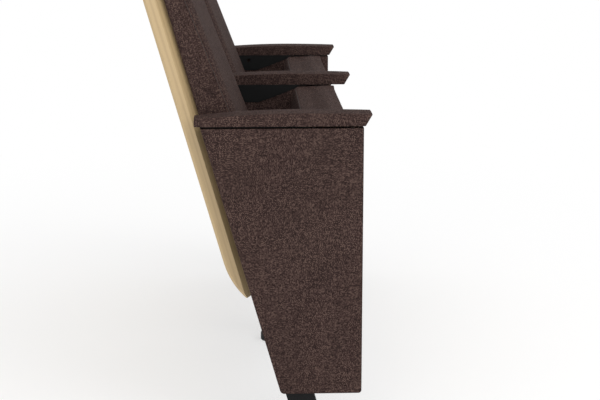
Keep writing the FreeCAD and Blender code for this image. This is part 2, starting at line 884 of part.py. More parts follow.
def make_back_panel(x):
    """Solid wood back with wide front bevels and a long rounded lower end."""
    half = back_width / 2
    rear = -plane_to_wood_rear
    front = -back_to_panel
    light = back_thick - back_bevel_depth
    run = math.sqrt(back_end_radius ** 2 - (back_end_radius - light) ** 2)
    half_turn = math.asin(run / back_end_radius) / 2
    low = -back_low_end
    arc_mid = (
        rear + back_end_radius * (1 - math.cos(half_turn)),
        low + run - back_end_radius * math.sin(half_turn),
    )

    def spot(out, level):
        return FreeCAD.Vector(x - half, -out, level)

    edges = [
        Part.LineSegment(spot(front, low), spot(front, back_high_end)).toShape(),
        Part.LineSegment(spot(front, back_high_end), spot(rear, back_high_end)).toShape(),
        Part.LineSegment(spot(rear, back_high_end), spot(rear, low + run)).toShape(),
        Part.Arc(spot(rear, low + run), spot(*arc_mid), spot(rear + light, low)).toShape(),
        Part.LineSegment(spot(rear + light, low), spot(front, low)).toShape(),
    ]
    body = Part.Face(Part.Wire(edges)).extrude(ALONG * back_width)
    square = FreeCAD.Vector(0, 1, 0)
    body = body.makeFillet(back_corner_round, edges_along(body, square, lambda centre: centre.z > 0))
    body = body.cut(bevel_tool(x, -1)).cut(bevel_tool(x, 1))
    top_rear = [e for e in edges_along(body, ALONG) if e.CenterOfMass.z > back_high_end - 1]
    top_rear = [e for e in top_rear if e.CenterOfMass.y > -rear - 1]
    body = body.makeChamfer(back_top_bevel, top_rear)
    return leaning(body)


def bevel_tool(x, side):
    """Wedge that cuts the bevel along one side of the wood back."""
    edge_x = x + side * back_width / 2
    front = -back_to_panel
    corners = [
        FreeCAD.Vector(edge_x + side, -front - 1, -back_low_end - 1),
        FreeCAD.Vector(edge_x - side * back_bevel_width * (1 + 1 / back_bevel_depth), -front - 1, -back_low_end - 1),
        FreeCAD.Vector(edge_x, -front + back_bevel_depth, -back_low_end - 1),
        FreeCAD.Vector(edge_x + side, -front + back_bevel_depth, -back_low_end - 1),
    ]
    face = Part.Face(Part.makePolygon(corners + corners[:1]))
    return face.extrude(FreeCAD.Vector(0, 0, back_high_end + back_low_end + 2))


# Seats


seat_under_reach = seat_face_reach + seat_thick
seat_low = seat_top - seat_length
recess_reach = seat_under_reach - seat_recess
pan_reach = recess_reach + soft_gap
board_reach = pan_reach + seat_pan_thick + soft_gap


def make_seat_cushion(x):
    """Seat cushion, standing tipped up, with the recess for its pan and board."""
    flat = pillow(
        seat_width,
        seat_length,
        lambda y: seat_thick,
        seat_crown,
        seat_draw_in,
        seat_corner,
        seat_rim_drop,
        (seat_side_rim, seat_rear_rim, seat_front_rim),
    )
    flat.rotate(FreeCAD.Vector(0, 0, 0), ALONG, 90)
    flat.rotate(FreeCAD.Vector(0, 0, 0), FreeCAD.Vector(0, 0, 1), 180)
    flat.translate(at(x, seat_under_reach, seat_low))
    half = seat_width / 2 - seat_board_margin + soft_gap
    margin = seat_board_margin - soft_gap
    recess = side_block(
        x - half,
        x + half,
        [
            (recess_reach, seat_low + margin),
            (seat_under_reach + 1, seat_low + margin),
            (seat_under_reach + 1, seat_top - margin),
            (recess_reach, seat_top - margin),
        ],
    )
    cushion = flat.cut(recess)
    for side in (-1, 1):
        start = x + side * (half - 1)
        end = x + side * (seat_width / 2 + 1)
        notch = side_block(
            min(start, end),
            max(start, end),
            [
                (recess_reach, pivot_height - ear_foot - 1),
                (seat_under_reach + 1, pivot_height - ear_foot - 1),
                (seat_under_reach + 1, pivot_height + ear_height + 1),
                (recess_reach, pivot_height + ear_height + 1),
            ],
        )
        cushion = cushion.cut(notch)
    return cushion


def make_seat_board(x):
    """Wooden board under the seat, with rounded corners and edges."""
    half = seat_width / 2 - seat_board_margin
    board = side_block(
        x - half,
        x + half,
        [
            (board_reach, seat_low + seat_board_margin),
            (board_reach + seat_board_thick, seat_low + seat_board_margin),
            (board_reach + seat_board_thick, seat_top - seat_board_margin),
            (board_reach, seat_top - seat_board_margin),
        ],
    )
    square = FreeCAD.Vector(0, 1, 0)
    board = board.makeFillet(seat_corner - seat_board_margin, edges_along(board, square))
    outer_y = at(0, board_reach + seat_board_thick, 0).y
    rim = [e for e in board.Edges if e.BoundBox.YMax < outer_y + 0.01]
    board = board.makeChamfer(seat_board_bevel, rim)
    return board


def make_seat_pan(x):
    """Pressed steel pan under the cushion with a hinge ear at each side."""
    half = seat_width / 2 - seat_pan_margin
    low = seat_low + seat_pan_margin
    high = seat_top - seat_pan_margin
    pan = side_block(
        x - half,
        x + half,
        [
            (pan_reach, low),
            (pan_reach + seat_pan_thick, low),
            (pan_reach + seat_pan_thick, high),
            (pan_reach, high),
        ],
    )
    for side in (-1, 1):
        pan = pan.fuse(seat_ear(x, side))
        bore = cross_pin(
            x + side * (hub_inner - 1), x + side * (hub_outer + 1), pivot_reach, pivot_height, axle_radius + bush_wall
        )
        pan = pan.cut(bore)
    return pan.removeSplitter()


def seat_ear(x, side):
    """Hinge ear of the pan: strap, side plate, hub and the tab that meets the stops."""
    ear_in = hub_inner + (hub_length - ear_thick) / 2
    ear_out = ear_in + ear_thick
    strap_start = x + side * (seat_width / 2 - seat_pan_margin - 1)
    low = pivot_height - ear_foot
    high = pivot_height + ear_height
    strap_reach = pan_reach + seat_pan_thick
    strap_end = x + side * ear_out
    strap = side_block(
        min(strap_start, strap_end),
        max(strap_start, strap_end),
        [(pan_reach, low), (strap_reach, low), (strap_reach, high), (pan_reach, high)],
    )
    start = x + side * ear_in
    end = x + side * ear_out
    rear = pivot_reach - ear_setback
    plate = side_block(
        min(start, end), max(start, end), [(rear, low), (strap_reach, low), (strap_reach, high), (rear, high)]
    )
    turn = math.radians(tab_angle)
    forward = (math.cos(turn), math.sin(turn))
    sideways = (-math.sin(turn) * tab_half_width, math.cos(turn) * tab_half_width)
    corners = []
    for run, sign in ((0, -1), (tab_length, -1), (tab_length, 1), (0, 1)):
        reach = pivot_reach + forward[0] * run + sideways[0] * sign
        height = pivot_height + forward[1] * run + sideways[1] * sign
        corners.append((reach, height))
    tab = side_block(min(start, end), max(start, end), corners)
    hub = cross_pin(x + side * hub_inner, x + side * hub_outer, pivot_reach, pivot_height, hub_radius)
    return strap.multiFuse([plate, tab, hub])


def make_bushes(x):
    """Nylon bushes in the hubs of one seat."""
    bushes = []
    for side in (-1, 1):
        start = x + side * hub_inner
        end = x + side * hub_outer
        bush = cross_pin(start, end, pivot_reach, pivot_height, axle_radius + bush_wall)
        bore = cross_pin(start - side, end + side, pivot_reach, pivot_height, axle_radius + bush_running_gap)
        bushes.append(bush.cut(bore))
    return bushes


def build():
    """Make and write every piece."""
    for name, x in standards.items():
        sides = side_of_standard[name]
        save("foot_" + name, make_foot(x))
        save("column_" + name, make_column(x))
        save("hinge_plate_" + name, make_hinge_plate(x, sides))
        save("pivot_axle_" + name, make_axle(x, sides))
        save("stop_buffers_" + name, *make_stop_buffers(x, sides))
        save("arm_bracket_" + name, make_arm_bracket(x, sides))
        save("arm_core_" + name, make_arm_core(x))
        save("arm_pad_" + name, make_arm_pad(x))
    for name in ("left", "right"):
        x = standards[name]
        side = side_of_standard[name][0]
        save("spring_cup_" + name, make_spring_cup(x, side))
        save("return_spring_" + name, make_spring(x, side))
        save("end_panel_" + name, make_end_panel(x, side))
        save("inner_panel_" + name, make_inner_panel(x, side, panel_front))
        save("middle_panel_" + name, make_middle_panel(0.0, -side))
    for name, x in seats.items():
        save("back_panel_" + name, make_back_panel(x))
        save("back_board_" + name, make_back_board(x))
        save("back_cushion_" + name, make_back_cushion(x))
        posts = ((x - seat_pitch / 2, 1), (x + seat_pitch / 2, -1))
        save("low_brackets_" + name, *[make_low_bracket(post, side) for post, side in posts])
        back_screws = []
        bracket_bolts = []
        for post, side in posts:
            back_screws += make_back_screws(post, side)
            bracket_bolts += make_bracket_bolts(post, side)
        save("back_screws_" + name, *back_screws)
        save("bracket_bolts_" + name, *bracket_bolts)
        save("seat_cushion_" + name, make_seat_cushion(x))
        save("seat_board_" + name, make_seat_board(x))
        save("seat_pan_" + name, make_seat_pan(x))
        save("seat_bushes_" + name, *make_bushes(x))


build()
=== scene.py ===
"""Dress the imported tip-up auditorium seats: upholstery, oak backs, painted steel, a pale studio and the camera."""

import math

import bmesh
import bpy
from mathutils import Matrix, Vector, noise
from mathutils.bvhtree import BVHTree


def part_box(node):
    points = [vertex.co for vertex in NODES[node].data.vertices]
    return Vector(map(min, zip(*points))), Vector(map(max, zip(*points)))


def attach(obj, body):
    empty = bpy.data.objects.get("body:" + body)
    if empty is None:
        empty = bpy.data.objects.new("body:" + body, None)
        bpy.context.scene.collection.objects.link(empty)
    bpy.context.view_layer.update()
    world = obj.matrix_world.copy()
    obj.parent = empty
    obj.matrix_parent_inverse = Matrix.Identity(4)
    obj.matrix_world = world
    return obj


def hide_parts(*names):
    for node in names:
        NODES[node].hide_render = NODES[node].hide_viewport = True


bl_info = {
    "name": "Tip-up auditorium seat dresser",
    "version": (1, 0, 0),
    "blender": (4, 5, 0),
    "location": "View3D > Sidebar > Seats",
    "description": "Builds the upholstery, finishes and studio of a row unit of tip-up seats",
    "category": "Object",
}

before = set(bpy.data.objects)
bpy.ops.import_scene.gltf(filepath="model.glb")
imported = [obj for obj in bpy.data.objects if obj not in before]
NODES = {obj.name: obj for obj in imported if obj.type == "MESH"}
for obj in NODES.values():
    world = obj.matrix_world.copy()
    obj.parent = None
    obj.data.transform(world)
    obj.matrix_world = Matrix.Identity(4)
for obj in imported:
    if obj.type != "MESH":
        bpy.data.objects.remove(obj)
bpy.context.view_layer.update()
ENDS = ("left", "right")
STANDARDS = ("left", "middle", "right")


# Sizes and colours that a user may change


class UpholsterySettings(bpy.types.PropertyGroup):
    """Sizes and colours of the fabric pieces."""

    yarn_dark: bpy.props.FloatVectorProperty(
        name="Dark yarn", description="Darkest yarn of the weave", subtype="COLOR", default=(0.0215, 0.0127, 0.0115)
    )
    yarn_brown: bpy.props.FloatVectorProperty(
        name="Brown yarn", description="Main yarn of the weave", subtype="COLOR", default=(0.0545, 0.0325, 0.0288)
    )
    yarn_light: bpy.props.FloatVectorProperty(
        name="Light yarn", description="Lightest fleck of the weave", subtype="COLOR", default=(0.112, 0.072, 0.0595)
    )
    yarn_pitch: bpy.props.FloatProperty(
        name="Yarn pitch", description="Distance from one yarn to the next", default=0.0019, subtype="DISTANCE"
    )
    lean: bpy.props.FloatProperty(
        name="Lean", description="Lean of the backs and of the panels' rear edges", default=math.radians(15.9),
        subtype="ANGLE",
    )
    back_plane_y: bpy.props.FloatProperty(
        name="Back plane", description="Where the leaning plane of the backs meets the arms' underside",
        default=0.093273, subtype="DISTANCE",
    )
    arm_underside: bpy.props.FloatProperty(
        name="Arm underside", description="Height of the arms' underside", default=0.610, subtype="DISTANCE"
    )
    voxel: bpy.props.FloatProperty(
        name="Remesh size", description="Size of the remeshed faces before a cushion is filled", default=0.0055,
        subtype="DISTANCE",
    )
    back_swell: bpy.props.FloatProperty(
        name="Back swell", description="Furthest that the back cushion's cover moves when filled", default=0.005,
        subtype="DISTANCE",
    )
    seat_swell: bpy.props.FloatProperty(
        name="Seat swell", description="Furthest that the seat cushion's cover moves when filled", default=0.005,
        subtype="DISTANCE",
    )
    seam_radius: bpy.props.FloatProperty(
        name="Seam radius", description="Half the thickness of a sewn seam's ridge", default=0.0007,
        subtype="DISTANCE",
    )


class FinishSettings(bpy.types.PropertyGroup):
    """Colours of the wood and the hardware."""

    oak_light: bpy.props.FloatVectorProperty(
        name="Light oak", description="Early wood between the growth lines", subtype="COLOR",
        default=(0.475, 0.345, 0.180),
    )
    oak_dark: bpy.props.FloatVectorProperty(
        name="Dark oak", description="Late wood along the growth lines", subtype="COLOR", default=(0.36, 0.25, 0.13)
    )
    black_paint: bpy.props.FloatVectorProperty(
        name="Black paint", description="Powder coat on the steel", subtype="COLOR", default=(0.0025, 0.0027, 0.0028)
    )


class StudioSettings(bpy.types.PropertyGroup):
    """Place of the camera and strength of the lamps."""

    camera_place: bpy.props.FloatVectorProperty(
        name="Camera", description="Where the camera stands", subtype="TRANSLATION", default=(-3.179, 0.0085, 1.0464)
    )
    camera_turn: bpy.props.FloatProperty(
        name="Turn", description="Turn of the view towards the front of the row", default=0.0399, subtype="ANGLE"
    )
    camera_tilt: bpy.props.FloatProperty(
        name="Tilt", description="Downward tilt of the view", default=0.2198, subtype="ANGLE"
    )
    lens: bpy.props.FloatProperty(
        name="Lens", description="Focal length on a 36 mm sensor", default=84.0, subtype="DISTANCE_CAMERA"
    )
    sky: bpy.props.FloatProperty(name="Sky", description="Strength of the surrounding light", default=0.97)
    key: bpy.props.FloatProperty(name="Key", description="Power of the key lamp", default=34.0, subtype="POWER")
    fill: bpy.props.FloatProperty(name="Fill", description="Power of the fill lamp", default=22.0, subtype="POWER")


def upholstery():
    """Settings of the fabric pieces."""
    return bpy.context.scene.seat_upholstery


def finishes():
    """Settings of the wood and hardware."""
    return bpy.context.scene.seat_finishes


def studio():
    """Settings of the studio."""
    return bpy.context.scene.seat_studio


# Shader graphs


class Wire:
    """A shader socket that Python arithmetic can be used on."""

    def __init__(self, graph, socket):
        self.graph = graph
        self.socket = socket

    def maths(self, operation, *others):
        """A Math node on this socket and others."""
        values = {index + 1: other for index, other in enumerate(others)}
        return self.graph.node("ShaderNodeMath", {"operation": operation}, {0: self, **values})[0]

    def __add__(self, other):
        return self.maths("ADD", other)

    def __radd__(self, other):
        return self.maths("ADD", other)

    def __sub__(self, other):
        return self.maths("SUBTRACT", other)

    def __rsub__(self, other):
        return self.graph.node("ShaderNodeMath", {"operation": "SUBTRACT"}, {0: other, 1: self})[0]

    def __mul__(self, other):
        return self.maths("MULTIPLY", other)

    def __rmul__(self, other):
        return self.maths("MULTIPLY", other)

    def __truediv__(self, other):
        return self.maths("DIVIDE", other)

    def __mod__(self, other):
        return self.maths("FLOORED_MODULO", other)

    def __pow__(self, other):
        return self.maths("POWER", other)

    def floor(self):
        """Whole part below."""
        return self.maths("FLOOR")

    def fraction(self):
        """Part after the whole part."""
        return self.maths("FRACT")

    def sine(self):
        """Sine of an angle in radians."""
        return self.maths("SINE")

    def size(self):
        """Value without its sign."""
        return self.maths("ABSOLUTE")

    def above(self, limit):
        """One where the value is over a limit."""
        return self.maths("GREATER_THAN", limit)

    def larger(self, other):
        """The larger of two values."""
        return self.maths("MAXIMUM", other)


class Graph:
    """Node tree of a material, or of another owner such as the sky."""

    def __init__(self, name, owner=None):
        self.owner = owner or bpy.data.materials.new(name)
        self.owner.use_nodes = True
        self.tree = self.owner.node_tree
        self.tree.nodes.clear()

    def node(self, kind, settings=None, values=None):
        """A node with its settings made first, then the values or links of its sockets; gives its outputs."""
        made = self.tree.nodes.new(kind)
        for key, value in (settings or {}).items():
            setattr(made, key, value)
        for key, value in (values or {}).items():
            socket = made.inputs[key]
            if isinstance(value, Wire):
                self.tree.links.new(value.socket, socket)
            elif socket.type == "RGBA":
                socket.default_value = (*value, 1.0)
            else:
                socket.default_value = value
        return [Wire(self, output) for output in made.outputs if output.enabled]

    def mix(self, share, first, second):
        """Two colours mixed by a share."""
        return self.node("ShaderNodeMix", {"data_type": "RGBA"}, {0: share, 6: first, 7: second})[0]

    def join(self, x, y, z=0.0):
        """A vector from three numbers or sockets."""
        return self.node("ShaderNodeCombineXYZ", None, {0: x, 1: y, 2: z})[0]

    def split(self, vector):
        """The three numbers of a vector."""
        return self.node("ShaderNodeSeparateXYZ", None, {0: vector})

    def smooth(self, value, low, high, to_low=0.0, to_high=1.0):
        """A value carried smoothly from one range to another."""
        return self.node(
            "ShaderNodeMapRange",
            {"interpolation_type": "SMOOTHSTEP"},
            {0: value, 1: low, 2: high, 3: to_low, 4: to_high},
        )[0]

    def grain(self, vector, scale, detail=2.0, roughness=0.5):
        """Plain noise."""
        return self.node(
            "ShaderNodeTexNoise", None, {"Vector": vector, "Scale": scale, "Detail": detail, "Roughness": roughness}
        )[0]

    def dice(self, vector):
        """A random number for each whole place of a vector."""
        return self.node("ShaderNodeTexWhiteNoise", {"noise_dimensions": "3D"}, {"Vector": vector})[0]

    def places(self):
        """Object coordinates."""
        return self.node("ShaderNodeTexCoord")[3]

    def surface(self, colour, roughness, height, bump, distance, plain=None):
        """Finish the material with a bumped surface shader, and give it."""
        normal = self.node("ShaderNodeBump", None, {"Height": height, "Strength": bump, "Distance": distance})[0]
        values = {"Base Color": colour, "Roughness": roughness, "Normal": normal, **(plain or {})}
        shader = self.node("ShaderNodeBsdfPrincipled", {"distribution": "GGX"}, values)[0]
        self.node("ShaderNodeOutputMaterial", None, {0: shader})
        return self.owner


def melange_fabric():
    """Plain weave of flecked brown yarns with painted shade in the gaps between them, laid out on the piece's own
    cloth coordinates.
    """
    cloth = upholstery()
    g = Graph("melange_fabric")
    uv = g.node("ShaderNodeUVMap", {"uv_map": "Cloth"})[0]
    across, along, _ = g.split(uv)
    pitch = cloth.yarn_pitch
    wander = g.grain(g.join(across * 60.0, along * 60.0), 1.0, 1.0) - 0.5
    u = across / pitch + wander * 0.5
    v = along / pitch + wander * 0.5
    warp_number = u.floor()
    weft_number = v.floor()
    warp_on_top = ((warp_number + weft_number) % 2.0).above(0.5)
    warp_round = (u.fraction() * math.pi).sine()
    weft_round = (v.fraction() * math.pi).sine()
    warp_fleck = g.grain(g.join(warp_number * 3.7, v * 0.42, 1.0), 1.0, 2.0, 0.65)
    weft_fleck = g.grain(g.join(u * 0.42, weft_number * 3.7, 9.0), 1.0, 2.0, 0.65)
    warp_tone = g.dice(g.join(warp_number, (v * 0.11).floor(), 3.0))
    weft_tone = g.dice(g.join((u * 0.11).floor(), weft_number, 7.0))
    speck = g.dice(g.join(warp_number, weft_number, 5.0))
    fleck = weft_fleck + warp_on_top * (warp_fleck - weft_fleck)
    tint = weft_tone + warp_on_top * (warp_tone - weft_tone)
    top = weft_round + warp_on_top * (warp_round - weft_round)
    level = g.smooth(fleck * 0.5 + tint * 0.15 + speck * 0.35, 0.25, 0.75)
    yarn = g.mix(g.smooth(level, 0.0, 0.55), cloth.yarn_dark, cloth.yarn_brown)
    yarn = g.mix(g.smooth(level, 0.62, 1.0), yarn, cloth.yarn_light)
    shade = g.grain(g.join(across * 9.0, along * 9.0, 4.0), 1.0, 2.0)
    colour = g.mix(g.smooth(shade, 0.3, 0.7, 0.0, 0.16), yarn, cloth.yarn_dark)
    # Painted shade: the colour is darkened where each yarn's rounded profile drops into the gap between yarns.
    gap_shade = g.smooth(top, 0.0, 0.6, 0.55, 1.0)
    colour = g.mix(1.0 - gap_shade, colour, tuple(c * 0.4 for c in cloth.yarn_dark))
    height = top * 0.7 + fleck * 0.3
    return g.surface(colour, 0.9, height, bump=0.35, distance=pitch * 0.5, plain={"Specular IOR Level": 0.08})


def sewing_thread():
    """Dark brown twisted thread of the seams."""
    g = Graph("sewing_thread")
    x, y, z = g.split(g.places())
    twist = ((x + y + z) * 4200.0).sine() * 0.5 + 0.5
    colour = g.mix(twist, (0.018, 0.011, 0.010), (0.036, 0.022, 0.019))
    return g.surface(colour, 0.8, twist, bump=0.4, distance=0.0004)


def lacquered_oak(name, leaning):
    """Light oak with growth lines and pores, its grain along the board."""
    wood = finishes()
    g = Graph(name)
    turn = -upholstery().lean if leaning else 0.0
    place = g.node(
        "ShaderNodeMapping", {"vector_type": "TEXTURE"}, {"Vector": g.places(), "Rotation": (turn, 0.0, 0.0)}
    )[0]
    x, y, z = g.split(place)
    sway = g.grain(g.join(x * 3.0, y * 3.0, z * 0.9), 1.0, 2.0) - 0.5
    fine = g.grain(g.join(x * 40.0, y * 40.0, z * 2.0), 1.0, 3.0) - 0.5
    from_heart = ((x * 1.0 + 0.13 + sway * 0.12) ** 2.0 + (y * 3.2 + 0.35 + sway * 0.2) ** 2.0) ** 0.5
    rings = ((from_heart * 46.0 + fine * 0.7).fraction() - 0.5).size() * 2.0
    line = g.smooth(rings, 0.55, 1.0)
    pores = g.grain(g.join(x * 900.0, y * 900.0, z * 14.0), 1.0, 2.0, 0.6)
    pore = g.smooth(pores, 0.62, 0.72)
    patch = g.grain(g.join(x * 8.0, y * 8.0, z * 1.5), 1.0, 2.0)
    colour = g.mix(line * 0.55, wood.oak_light, wood.oak_dark)
    colour = g.mix(g.smooth(patch, 0.3, 0.75, 0.0, 0.3), colour, wood.oak_dark)
    colour = g.mix(pore * 0.35, colour, tuple(c * 0.6 for c in wood.oak_dark))
    roughness = g.smooth(pores, 0.3, 0.8, 0.42, 0.55)
    return g.surface(
        colour, roughness, 1.0 - pore * 0.8 - line * 0.2, bump=0.12, distance=0.0004,
        plain={"Coat Weight": 0.15, "Coat Roughness": 0.3},
    )


def birch_ply():
    """Raw plywood with its layers on the cut edges."""
    g = Graph("birch_ply")
    x, y, z = g.split(g.places())
    layers = (((y * math.cos(0.28) + z * 0.27) * 640.0).fraction() - 0.5).size() * 2.0
    grain = g.grain(g.join(x * 300.0, y * 40.0, z * 9.0), 1.0, 3.0)
    colour = g.mix(grain, (0.60, 0.47, 0.30), (0.72, 0.60, 0.42))
    colour = g.mix(g.smooth(layers, 0.7, 1.0, 0.0, 0.3), colour, (0.42, 0.30, 0.17))
    return g.surface(colour, 0.7, grain, bump=0.15, distance=0.0005)


def powder_coat(name, size, strength, wear):
    """Satin black paint with a fine orange peel and slightly rubbed high spots."""
    g = Graph(name)
    place = g.places()
    peel = g.grain(place, size, 3.0, 0.6)
    dust = g.grain(place, 22.0, 3.0)
    rubbed = (0.009, 0.009, 0.0095)
    colour = g.mix(g.smooth(dust, 0.35, 0.75, 0.0, wear), finishes().black_paint, rubbed)
    roughness = g.smooth(peel, 0.3, 0.7, 0.55, 0.68)
    return g.surface(colour, roughness, peel, bump=strength, distance=0.0006, plain={"Specular IOR Level": 0.22})


def turned_steel(name, tint, low, high):
    """Bare or plated steel with fine lines across the row."""
    g = Graph(name)
    x, y, z = g.split(g.places())
    lines = g.grain(g.join(x * 2600.0, y * 60.0, z * 60.0), 1.0, 2.0)
    smear = g.grain(g.join(x * 30.0, y * 30.0, z * 30.0), 1.0, 2.0)
    colour = g.mix(smear, tuple(c * 0.8 for c in tint), tint)
    roughness = g.smooth(lines, 0.3, 0.7, low, high)
    return g.surface(colour, roughness, lines, bump=0.1, distance=0.0002, plain={"Metallic": 1.0})


def moulded(name, dark, pale, size, low, high):
    """Moulded rubber or plastic with a fine grain."""
    g = Graph(name)
    place = g.places()
    leather = g.node("ShaderNodeTexVoronoi", {"feature": "SMOOTH_F1"}, {"Vector": place, "Scale": size})[0]
    cloud = g.grain(place, 30.0, 3.0)
    colour = g.mix(cloud, dark, pale)
    return g.surface(colour, g.smooth(leather, 0.0, 0.7, low, high), leather, bump=0.15, distance=0.0004)


# Mesh helpers


def back_frame(x):
    """Frame of a leaning back: X along the row, -Y forward out of its plane, Z up the back."""
    cloth = upholstery()
    place = Matrix.Translation((x, cloth.back_plane_y, cloth.arm_underside))
    return place @ Matrix.Rotation(-cloth.lean, 4, "X")


def box_in(node, where):
    """Lowest and highest corner of a CAD node in a frame of its own."""
    inverse = where.inverted()
    spots = [inverse @ v.co for v in NODES[node].data.vertices]
    low = Vector([min(s[i] for s in spots) for i in range(3)])
    high = Vector([max(s[i] for s in spots) for i in range(3)])
    return low, high


def block(low, high):
    """A closed box between two corners."""
    bm = bmesh.new()
    bmesh.ops.create_cube(bm, size=1.0)
    size = Vector(high) - Vector(low)
    bmesh.ops.scale(bm, vec=size, verts=bm.verts)
    bmesh.ops.translate(bm, vec=(Vector(high) + Vector(low)) / 2, verts=bm.verts)
    return bm


def slices(bm, axis, count, low, high):
    """Cut a mesh into even slices along an axis."""
    for step in range(1, count):
        place = [0.0, 0.0, 0.0]
        normal = [0.0, 0.0, 0.0]
        place[axis] = low + (high - low) * step / count
        normal[axis] = 1.0
        bmesh.ops.bisect_plane(
            bm, geom=bm.verts[:] + bm.edges[:] + bm.faces[:], dist=1e-6, plane_co=place, plane_no=normal
        )


def soften(bm, radius, segments, test):
    """Round those sharp edges of a mesh that pass a test."""
    bm.normal_update()
    edges = [e for e in bm.edges if e.is_manifold and e.calc_face_angle(0.0) > math.radians(25) and test(e)]
    bmesh.ops.bevel(
        bm, geom=edges, offset=radius, offset_type="OFFSET", affect="EDGES", segments=segments, profile=0.5,
        material=-1, clamp_overlap=True,
    )


def draw_in(bm, low, high):
    """Pull the sides of a cushion in between its corners."""
    deepest = 0.003
    side_share = 0.9
    half = (high.x - low.x) / 2
    middle_x = (high.x + low.x) / 2
    middle_z = (high.z + low.z) / 2
    tall = (high.z - low.z) / 2
    for vert in bm.verts:
        across = (vert.co.x - middle_x) / half
        up = (vert.co.z - middle_z) / tall
        if abs(across) > side_share:
            vert.co.x -= math.copysign(deepest * max(0.0, 1 - up * up), across)
        if abs(up) > side_share:
            vert.co.z -= math.copysign(deepest * max(0.0, 1 - across * across), up)


def lay_cloth(bm, turned=False):
    """Cloth coordinates in metres, laid on each face by the way that it faces."""
    layer = bm.loops.layers.uv.get("Cloth") or bm.loops.layers.uv.new("Cloth")
    bm.normal_update()
    for face in bm.faces:
        axis = max(range(3), key=lambda i: abs(face.normal[i]))
        for loop in face.loops:
            spot = loop.vert.co
            across, along = ((spot.y, spot.z), (spot.x, spot.z), (spot.x, spot.y))[axis]
            if turned:
                across, along = along, across
            loop[layer].uv = (across + 0.37 * axis, along + 0.11 * axis)


def finish_piece(name, bm, material, body, replaced=(), smooth_angle=None):
    """Turn a mesh in work into a named piece that rides on a body and stands for its CAD nodes."""
    bmesh.ops.remove_doubles(bm, verts=bm.verts, dist=1e-6)
    bmesh.ops.recalc_face_normals(bm, faces=bm.faces)
    mesh = bpy.data.meshes.new(name)
    bm.to_mesh(mesh)
    bm.free()
    mesh.materials.append(material)
    mesh.shade_smooth()
    if smooth_angle:
        mesh.set_sharp_from_angle(angle=smooth_angle)
    piece = bpy.data.objects.new(name, mesh)
    bpy.context.scene.collection.objects.link(piece)
    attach(piece, body)
    if replaced:
        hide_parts(*replaced)
    return piece


def copy_piece(source, name, shift, body, replaced):
    """A second piece of the same shape, shifted along the row."""
    bm = bmesh.new()
    bm.from_mesh(source.data)
    bmesh.ops.translate(bm, vec=shift, verts=bm.verts)
    return finish_piece(name, bm, source.data.materials[0], body, replaced)


def fabric():
    """The upholstery weave."""
    return bpy.data.materials.get("melange_fabric") or melange_fabric()


def thread():
    """The seam thread."""
    return bpy.data.materials.get("sewing_thread") or sewing_thread()


# Filling cushions


def fill_cover(bm, cap, held):
    """Remesh a closed cover, fill it with a cloth simulation, and give the filled mesh.

    cap is the furthest that a point may move, and held says which points keep their place.
    """
    voxel = upholstery().voxel
    last_frame = 20
    mesh = bpy.data.meshes.new("cover")
    bm.to_mesh(mesh)
    bm.free()
    cover = bpy.data.objects.new("cover", mesh)
    scene = bpy.context.scene
    scene.collection.objects.link(cover)
    remesh = cover.modifiers.new("Remesh", "REMESH")
    remesh.mode = "VOXEL"
    remesh.voxel_size = voxel
    graph = bpy.context.evaluated_depsgraph_get()
    even = bpy.data.meshes.new_from_object(cover.evaluated_get(graph))
    cover.modifiers.clear()
    cover.data = even
    start = [v.co.copy() for v in even.vertices]
    group = cover.vertex_groups.new(name="held")
    for index, spot in enumerate(start):
        weight = held(spot)
        if weight > 0:
            group.add([index], weight, "REPLACE")
    sim = cover.modifiers.new("Cloth", "CLOTH")
    sim.settings.quality = 5
    sim.settings.mass = 0.3
    sim.settings.use_pressure = True
    sim.settings.uniform_pressure_force = 4.0
    sim.settings.effector_weights.gravity = 0.0
    sim.settings.vertex_group_mass = "held"
    sim.collision_settings.use_collision = False
    sim.point_cache.frame_start = 1
    sim.point_cache.frame_end = last_frame
    for number in range(1, last_frame + 1):
        scene.frame_set(number)
    graph = bpy.context.evaluated_depsgraph_get()
    filled = bpy.data.meshes.new_from_object(cover.evaluated_get(graph))
    for vertex, spot in zip(filled.vertices, start):
        move = vertex.co - spot
        if move.length > cap:
            vertex.co = spot + move * (cap / move.length)
    cover.modifiers.clear()
    cover.data = filled
    scene.frame_set(1)
    result = bmesh.new()
    result.from_mesh(cover.data)
    bpy.data.objects.remove(cover)
    bmesh.ops.smooth_vert(result, verts=result.verts, factor=0.5, use_axis_x=True, use_axis_y=True, use_axis_z=True)
    return result


def subdivide_once(bm):
    bmesh.ops.subdivide_edges(bm, edges=bm.edges, cuts=1, use_grid_fill=True, smooth=0.5)


def carve(piece, bm):
    """Take a closed mesh out of a piece."""
    mesh = bpy.data.meshes.new("carver")
    bm.to_mesh(mesh)
    bm.free()
    carver = bpy.data.objects.new("carver", mesh)
    bpy.context.scene.collection.objects.link(carver)
    cut = piece.modifiers.new("Carve", "BOOLEAN")
    cut.operation = "DIFFERENCE"
    cut.solver = "EXACT"
    cut.object = carver
    graph = bpy.context.evaluated_depsgraph_get()
    carved = bpy.data.meshes.new_from_object(piece.evaluated_get(graph))
    piece.modifiers.clear()
    old = piece.data
    piece.data = carved
    bpy.data.meshes.remove(old)
    bpy.data.objects.remove(carver)


